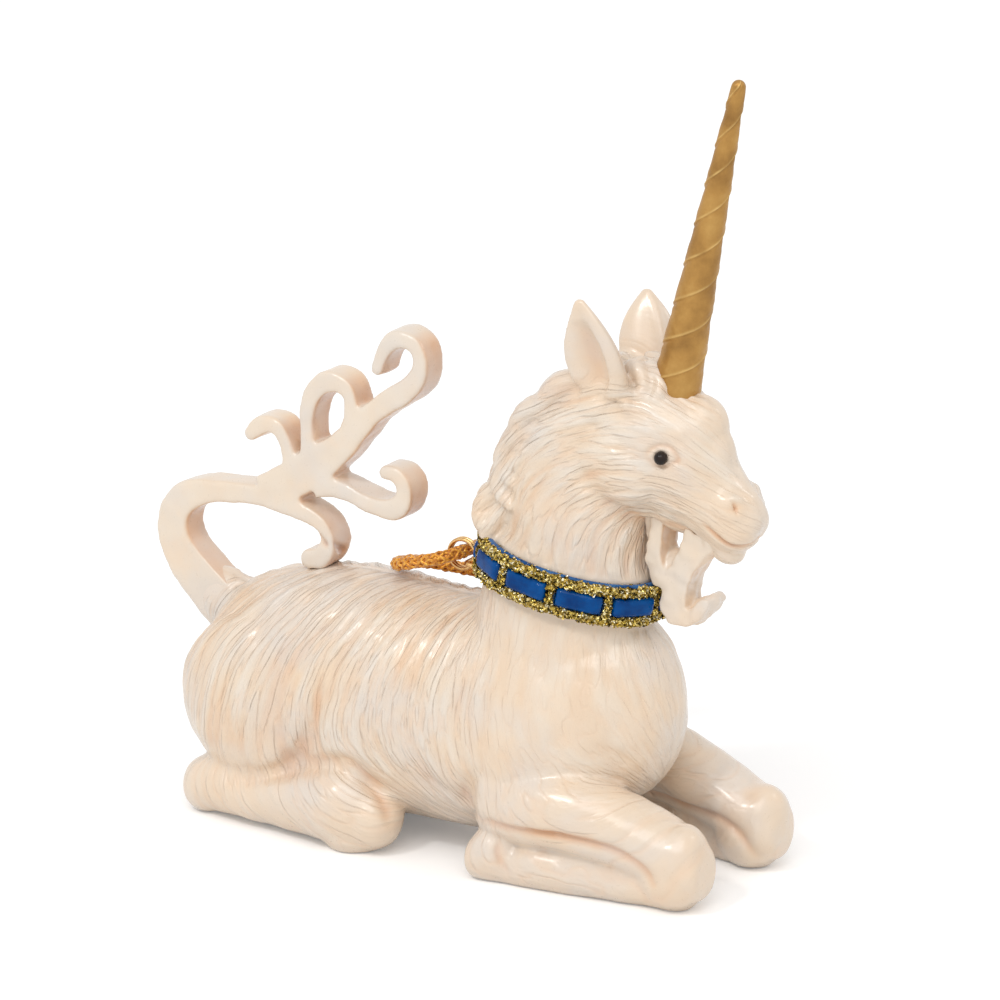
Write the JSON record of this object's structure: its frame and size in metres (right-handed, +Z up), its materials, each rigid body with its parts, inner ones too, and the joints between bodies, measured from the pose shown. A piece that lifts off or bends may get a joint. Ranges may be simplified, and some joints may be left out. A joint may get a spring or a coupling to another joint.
{
  "type": "unicorn figurine",
  "caption": "Couchant unicorn hanging ornament in pearly cast resin, with spiral horn, scroll tail and beard, jewelled collar, nape ring and cord loop.",
  "frame": {"origin": "centre of the footprint of the figurine without its cord, on the plane that its folded legs rest on", "axes": "+X forwards along the body towards the muzzle, +Y towards the unicorn's left side, +Z up"},
  "size_m": [0.0894, 0.0419, 0.1038],
  "materials": {
    "pearl_resin": "cast resin under a pearly cream and peach glaze",
    "gilt_paint": "satin antique-gold paint over resin",
    "black_gloss": "black gloss bead",
    "blue_enamel": "translucent blue enamel",
    "blue_stone": "polished deep-blue cabochon",
    "gold_glitter": "gold glitter bound in clear varnish",
    "beech": "plain turned dowel",
    "steel_pin": "plain drawn wire",
    "gold_wire": "gold-plated wire",
    "gold_braid": "braided orange-gold cord"
  },
  "bodies": {
    "figurine": {"body_casting": "pearl_resin", "head_casting": "pearl_resin", "neck_dowel": "beech", "horn": "gilt_paint", "horn_pin": "steel_pin", "tail": "pearl_resin", "tail_pin": "steel_pin", "beard": "pearl_resin", "eye_right": "black_gloss", "eye_left": "black_gloss", "collar_band": "blue_enamel", "collar_stone_01": "blue_stone", "collar_stone_02": "blue_stone", "collar_stone_03": "blue_stone", "collar_stone_04": "blue_stone", "collar_stone_05": "blue_stone", "collar_stone_06": "blue_stone", "collar_stone_07": "blue_stone", "collar_stone_08": "blue_stone", "collar_stone_09": "blue_stone", "collar_stone_10": "blue_stone", "glitter_rim_upper": "gold_glitter", "glitter_rim_lower": "gold_glitter", "glitter_dividers": "gold_glitter", "eye_staple": "gold_wire", "hanging_cord_left": "gold_braid", "hanging_cord_right": "gold_braid", "cord_knot": "gold_braid"},
    "ring": {"split_ring": "gold_wire", "hanging_cord_eyelet": "gold_braid"}
  },
  "joints": [
    {"name": "ring_swing", "type": "hinge", "parent": "figurine", "child": "ring", "pos_m": [0.00242, -0.00065, 0.03741], "axis": [0, 1, 0], "range_deg": [-75, 35], "deforming": ["hanging_cord_eyelet"]}
  ]
}
